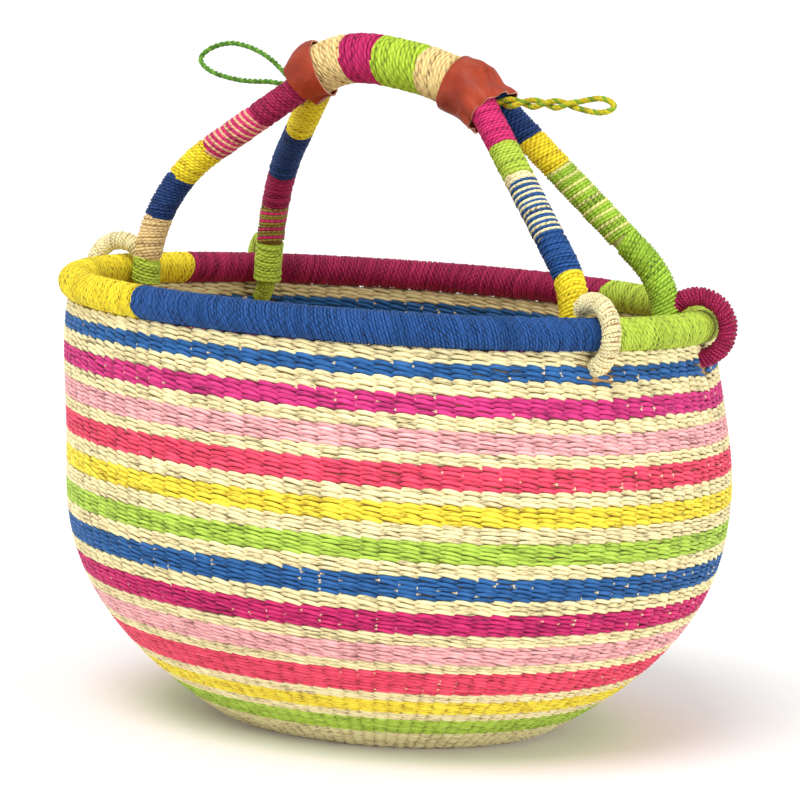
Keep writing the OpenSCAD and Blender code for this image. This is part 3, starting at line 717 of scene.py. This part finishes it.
for number, (node, leg, low, high, straw, slot) in enumerate(legWraps):
    path = paths[leg]
    start = low * path.total - handle["legToe"]
    end = high * path.total - handle["legToe"]
    strands = straw if isinstance(straw, tuple) else (straw,)
    for which, one in enumerate(strands):      # stripes are several straws wound side by side
        name = node + "_straw" + (f"_{which + 1}" if which else "")
        piece = wound(name, path.stretch(start, end), handle["legRadius"] + handle["over"], one, 200 + number,
                      strands=len(strands), number=which)
        finishPiece(piece, "handle", [node])

eyeStraws = {"leftFront": ("left_front_eye_wrap", "natural", "natural_straw"),
             "leftBack": ("left_back_eye_wrap", "lime", "lime_straw"),
             "rightFront": ("right_front_eye_wrap", "natural", "natural_straw"),
             "rightBack": ("right_back_eye_wrap", "burgundy", "burgundy_straw")}
for number, (leg, (node, straw, slot)) in enumerate(eyeStraws.items()):
    path = paths[leg]
    reach = handle["ringTo"] - handle["ringFrom"]
    arc = [math.radians(handle["ringFrom"] + reach * i / 40) for i in range(41)]
    points = [path.place(handle["ringShift"] + handle["ringRadius"] * math.cos(a),
                         handle["ringRadius"] * math.sin(a)) for a in arc]
    finishPiece(wound(node + "_straw", points, handle["eyeRadius"] - handle["ringSlim"], straw, 240 + number,
                      slant=0.001, steps=14), "handle", [node])


# places along the grip's middle, across and over the rim's centreline, in millimetres
gripPlaces = [(-92, 100), (-79, 111.5), (-68, 119.6), (-58, 126.2), (-46, 131), (-34, 133), (-22, 133.2),
              (-8, 132), (8, 130), (20, 127.6), (32, 124.2), (46, 118), (60, 110.4), (74, 100)]


def smoothRoute(route, steps=8):
    points = [Vector((x / 1000, y / 1000, rimZ + z / 1000)) for x, y, z in route]
    padded = [2 * points[0] - points[1]] + points + [2 * points[-1] - points[-2]]
    done = []
    for i in range(len(points) - 1):
        a, b, c, d = padded[i:i + 4]
        for k in range(steps):
            t = k / steps
            done.append(0.5 * ((2 * b) + (c - a) * t + (2 * a - 5 * b + 4 * c - d) * t * t
                               + (3 * b - a - 3 * c + d) * t ** 3))
    return done + [points[-1]]


gripLine = smoothRoute([(x, 0, z) for x, z in gripPlaces], 12)


def gripPoint(x):
    for p, q in zip(gripLine, gripLine[1:]):
        if p.x <= x <= q.x:
            return p.lerp(q, (x - p.x) / (q.x - p.x))
    return gripLine[-1].copy()


# the first and last run on under the cuffs
gripStraws = [("grip_left_natural_wrap", "gripTan", "natural_straw", -0.070, -0.0380),
              ("grip_burgundy_wrap", "gripWine", "burgundy_straw", -0.0380, -0.0155),
              ("grip_green_wrap", "gripLime", "lime_straw", -0.0155, 0.0150),
              ("grip_right_natural_wrap", "gripTan", "natural_straw", 0.0150, 0.047)]
for number, (node, straw, slot, x0, x1) in enumerate(gripStraws):
    points = [gripPoint(x0 + (x1 - x0) * i / 14) for i in range(15)]
    finishPiece(wound(node + "_straw", points, handle["gripRadius"] + handle["over"], straw, 250 + number,
                      pitch=0.0021, slant=0.0036, steps=28), "handle", [node])

# the rim's four lengths of colour, from and to in degrees round it
rimStraws = [("rim_burgundy_wrap", "burgundy", "burgundy_straw", 80, 170.5),
             ("rim_yellow_wrap", "gold", "gold_straw", 170.5, 258.5),
             ("rim_blue_wrap", "deepBlue", "blue_straw", 258.5, 345),
             ("rim_lime_wrap", "lime", "lime_straw", 345, 440)]
for number, (node, straw, slot, a0, a1) in enumerate(rimStraws):
    n = 60
    points = []
    for i in range(n + 1):
        a = math.radians(a0 + (a1 - a0) * i / n)
        points.append(Vector((rimRadius * math.cos(a), rimRadius * math.sin(a), rimZ)))
    finishPiece(wound(node + "_straw", points, rimTube + handle["over"], straw, 260 + number,
                      pitch=0.0017, slant=0.0025), "basket", [node])
print("handle and rim wound")


# cuffs
def leatherMaterial(name, dark, light):
    material = bpy.data.materials.new(name)
    material.use_nodes = True
    tree = material.node_tree
    shader = tree.nodes["Principled BSDF"]
    place = put(tree, "ShaderNodeTexCoord").outputs["Object"]
    patches = put(tree, "ShaderNodeTexNoise", {"Vector": place, "Scale": 60.0, "Detail": 4.0}).outputs[0]
    ramp = put(tree, "ShaderNodeValToRGB", {0: patches})
    ramp.color_ramp.elements[0].position = 0.3
    ramp.color_ramp.elements[0].color = dark
    ramp.color_ramp.elements[1].position = 0.7
    ramp.color_ramp.elements[1].color = light
    tree.links.new(ramp.outputs[0], shader.inputs["Base Color"])
    grain = put(tree, "ShaderNodeTexVoronoi", {"Vector": place, "Scale": 1600.0}).outputs[0]
    bump = put(tree, "ShaderNodeBump", {"Height": grain, "Strength": 0.25, "Distance": 0.0002}).outputs[0]
    tree.links.new(bump, shader.inputs["Normal"])
    shader.inputs["Roughness"].default_value = 0.5
    shader.inputs["Specular IOR Level"].default_value = 0.3
    return material


leather = leatherMaterial("cuffLeather", linear(128, 36, 14), linear(172, 62, 30))
cutLeather = leatherMaterial("cutEdge", linear(196, 128, 96), linear(226, 170, 138))


cuffs = {
    # middle of each edge across and over the rim, tilt of the edge, half height and half width there
    "left": {"side": -1, "inner": (-0.0585, 0.1260), "outer": (-0.0715, 0.1165), "tilts": (28, 42),
             "talls": (0.0160, 0.0136), "wides": (0.0160, 0.0178), "skew": (0.35, 0.15), "bow": 0.0020,
             "dimple": 0.0006, "pleat": 0.0004,
             "seamAt": -100, "seamStep": 0.0009, "seed": 3},
    "right": {"side": 1, "inner": (0.0327, 0.1238), "outer": (0.0612, 0.1094), "tilts": (25, 38),
              "talls": (0.0159, 0.0142), "wides": (0.0159, 0.0178), "skew": (0.25, 0.0), "bow": 0.0020,
              "dimple": 0.0042, "pleat": 0.0012,
              "seamAt": -62, "seamStep": 0.0014, "seed": 8},
}


def cuffShell(name, spec):
    side = spec["side"]
    inner, outer = Vector(spec["inner"]), Vector(spec["outer"])
    ringSteps, aroundSteps = 44, 150
    verts, faces = [], []
    for i in range(ringSteps + 1):
        t = i / ringSteps
        middle = inner.lerp(outer, t)
        tilt = math.radians(spec["tilts"][0] + (spec["tilts"][1] - spec["tilts"][0]) * t)
        tall = spec["talls"][0] + (spec["talls"][1] - spec["talls"][0]) * t
        wide = spec["wides"][0] + (spec["wides"][1] - spec["wides"][0]) * t * t
        up = Vector((side * math.sin(tilt), 0, math.cos(tilt)))
        belly = spec["bow"] * math.sin(math.pi * t)
        middle = Vector((middle.x, 0, rimZ + middle.y)) + up * belly * 0.6
        for k in range(aroundSteps):
            a = 2 * math.pi * k / aroundSteps
            swell = belly * (0.5 + 0.5 * math.sin(a))
            top = math.exp(-((math.degrees(a) - 90) / 34) ** 2)
            swell -= spec["dimple"] * top * math.exp(-((t - 0.72) / 0.16) ** 2)
            shoulder = math.exp(-((math.degrees(a) - 90) / 60) ** 2) * math.exp(-((t - 0.4) / 0.2) ** 2)
            swell += spec["dimple"] * 0.35 * shoulder
            fan = max(0.0, t - 0.55) / 0.45
            frill = math.sin(9 * a + 1.3 * spec["seed"]) * (0.4 + 0.6 * abs(math.sin(a)))
            swell += spec["pleat"] * fan * frill
            past = (math.degrees(a) - spec["seamAt"]) % 360
            swell += spec["seamStep"] * max(0.0, 1 - past / 110)
            swell += 0.0006 * noise.noise(Vector((a * 1.4 + spec["seed"], t * 3.0, 0)))
            swell += 0.00022 * noise.noise(Vector((a * 7.0, t * 11.0, spec["seed"])))
            ripple = 0.0009 * noise.noise(Vector((a * 2.2, 5.0 * round(t), spec["seed"])))
            slide = Vector((side * math.cos(tilt), 0, -math.sin(tilt))) * ripple * (2 * t - 1) ** 2
            if side > 0:        # folds drawn together at the top
                u, v = (math.degrees(a) - 100) / 26, (t - 0.5) / 0.22
                star = 0.55 + 0.45 * math.cos(5 * math.atan2(v, u))
                swell -= 0.0016 * math.exp(-(u * u + v * v) / 1.6) * star
            across = (wide + swell) * math.cos(a)
            skew = Vector((-across * (spec["skew"][0] * (1 - t) + spec["skew"][1] * t), 0, 0))
            verts.append(middle + slide + skew + up * (tall + swell) * math.sin(a) + Vector((0, across, 0)))
    for i in range(ringSteps):
        for k in range(aroundSteps):
            p, q = i * aroundSteps + k, i * aroundSteps + (k + 1) % aroundSteps
            face = (p, q, q + aroundSteps, p + aroundSteps)
            faces.append(face if side < 0 else face[::-1])
    mesh = bpy.data.meshes.new(name)
    mesh.from_pydata([tuple(v) for v in verts], [], faces)
    for polygon in mesh.polygons:
        polygon.use_smooth = True
    obj = bpy.data.objects.new(name, mesh)
    bpy.context.scene.collection.objects.link(obj)
    mesh.materials.append(leather)
    mesh.materials.append(cutLeather)
    solid = obj.modifiers.new("thickness", "SOLIDIFY")
    solid.thickness = 0.0010
    solid.offset = -1
    solid.material_offset_rim = 1
    graph = bpy.context.evaluated_depsgraph_get()
    done = bpy.data.meshes.new_from_object(obj.evaluated_get(graph))
    obj.modifiers.clear()
    obj.data = done
    return obj


finishPiece(cuffShell("left_cuff_leather", cuffs["left"]), "handle", ["left_cuff"])
finishPiece(cuffShell("right_cuff_leather", cuffs["right"]), "handle", ["right_cuff"])
print("cuffs made")


# hanging loops
# routes across, along and over the rim's centreline, in millimetres
loops = {
    "left": {"diameter": 0.0032, "turns": 140, "colours": ("ropeLime", "ropeGreen"), "slot": "lime_straw",
             "route": [
                 (-76, 1.6, 116.6), (-84, 2.5, 118), (-92, 4, 123), (-101, 5.5, 128), (-111, 6.5, 132),
                 (-121, 7, 134.5), (-131, 6, 135.5), (-140, 4, 133.5), (-146, 1, 129.5), (-147, -2, 125),
                 (-142, -4, 121), (-134, -5, 118), (-124, -5, 116), (-114, -4.5, 115), (-104, -4, 115),
                 (-95, -3, 115.5), (-86, -2.5, 115), (-76, -2, 115)]},
    "right": {"diameter": 0.0034, "turns": 110, "colours": ("ropeGold", "ropeGold", "grass"),
              "slot": "gold_straw"},
}
# the right loop lies doubled and twisted on itself, and opens at its end
rightLoop = {"from": 62, "opens": 117, "lay": 30, "apart": 1.85, "height": 114.8, "climb": 0.045}


def rightStrand(x, which):
    a = 2 * math.pi * (x - rightLoop["opens"]) / rightLoop["lay"]
    middle = rightLoop["height"] + rightLoop["climb"] * (x - rightLoop["from"])
    return (x, which * rightLoop["apart"] * math.sin(a), middle + which * rightLoop["apart"] * math.cos(a))


laid = [rightLoop["from"] + 5 * i for i in range(12)]
eye = [(123, 0, 120.6), (130, 0, 121.8), (136, 0, 121), (139.5, 0, 118.4), (136.5, 0, 115.6), (130, 0, 114.2),
       (123, 0, 114.6)]
loops["right"]["route"] = ([rightStrand(x, 1) for x in laid] + eye
                           + [rightStrand(x, -1) for x in reversed(laid)])


def ropePiece(name, spec):
    route = smoothRoute(spec["route"])
    radius = spec["diameter"] / 2
    verts, faces, marks, tones = [], [], [], []
    side = (route[1] - route[0]).cross(Vector((0, 0, 1))).normalized()
    frames, walked = [], 0.0
    for i, point in enumerate(route):
        ahead = (route[min(i + 1, len(route) - 1)] - route[max(i - 1, 0)]).normalized()
        side = (side - ahead * side.dot(ahead)).normalized()
        walked += (point - route[i - 1]).length if i else 0
        frames.append((point, side.copy(), ahead.cross(side), walked))
    sides = 8
    count = len(spec["colours"])
    for strand in range(count):
        start = len(verts)
        for point, u, v, far in frames:
            a = far * spec["turns"] * 2 * math.pi + strand * 2 * math.pi / count
            spoke = u * math.cos(a) + v * math.sin(a)
            other = v * math.cos(a) - u * math.sin(a)
            for k in range(sides):
                b = 2 * math.pi * k / sides
                rough = 1 + 0.1 * noise.noise(Vector((far * 900, b, strand * 9)))
                verts.append(point + spoke * radius * (0.44 + 0.56 * math.cos(b) * rough)
                             + other * radius * 0.74 * math.sin(b) * rough)
                tones.append((far * 180, b / (2 * math.pi)))
        rings = len(frames)
        for i in range(rings - 1):
            for k in range(sides):
                p, q = start + i * sides + k, start + i * sides + (k + 1) % sides
                faces.append((p, p + sides, q + sides, q))
                marks.append(strand)
        faces.append(tuple(start + k for k in range(sides)))
        faces.append(tuple(start + (rings - 1) * sides + k for k in reversed(range(sides))))
        marks += [strand, strand]
    mesh = bpy.data.meshes.new(name)
    mesh.from_pydata([tuple(p) for p in verts], [], faces)
    for label, place in (("along", 0), ("around", 1)):
        layer = mesh.attributes.new(label, "FLOAT", "POINT")
        layer.data.foreach_set("value", [t[place] for t in tones])
    for colour in spec["colours"]:
        mesh.materials.append(straws[colour])
    mesh.polygons.foreach_set("material_index", marks)
    for polygon in mesh.polygons:
        polygon.use_smooth = True
    form = bmesh.new()
    form.from_mesh(mesh)
    bmesh.ops.recalc_face_normals(form, faces=form.faces)
    form.to_mesh(mesh)
    form.free()
    obj = bpy.data.objects.new(name, mesh)
    bpy.context.scene.collection.objects.link(obj)
    return obj, route


for key, spec in loops.items():
    rope, route = ropePiece(key + "_loop_rope", spec)
    finishPiece(rope, "handle", [key + "_hanging_loop"])
print("loops made")

# the cane left showing inside the bindings
def caneMaterial():
    material = bpy.data.materials.new("cane")
    material.use_nodes = True
    tree = material.node_tree
    shader = tree.nodes["Principled BSDF"]
    place = put(tree, "ShaderNodeTexCoord").outputs["Object"]
    grain = put(tree, "ShaderNodeTexNoise", {"Vector": place, "Scale": 300.0, "Detail": 4.0}).outputs[0]
    ramp = put(tree, "ShaderNodeValToRGB", {0: grain})
    ramp.color_ramp.elements[0].position = 0.35
    ramp.color_ramp.elements[0].color = linear(132, 84, 46)
    ramp.color_ramp.elements[1].position = 0.7
    ramp.color_ramp.elements[1].color = linear(196, 150, 98)
    tree.links.new(ramp.outputs[0], shader.inputs["Base Color"])
    bump = put(tree, "ShaderNodeBump", {"Height": grain, "Strength": 0.4, "Distance": 0.0003}).outputs[0]
    tree.links.new(bump, shader.inputs["Normal"])
    shader.inputs["Roughness"].default_value = 0.6
    return material


cane = caneMaterial()
for node in ("rim_core", "front_hoop_core", "back_hoop_core"):
    mesh = bpy.data.objects[node].data
    mesh.materials.clear()
    mesh.materials.append(cane)

bpy.data.objects.remove(holes)
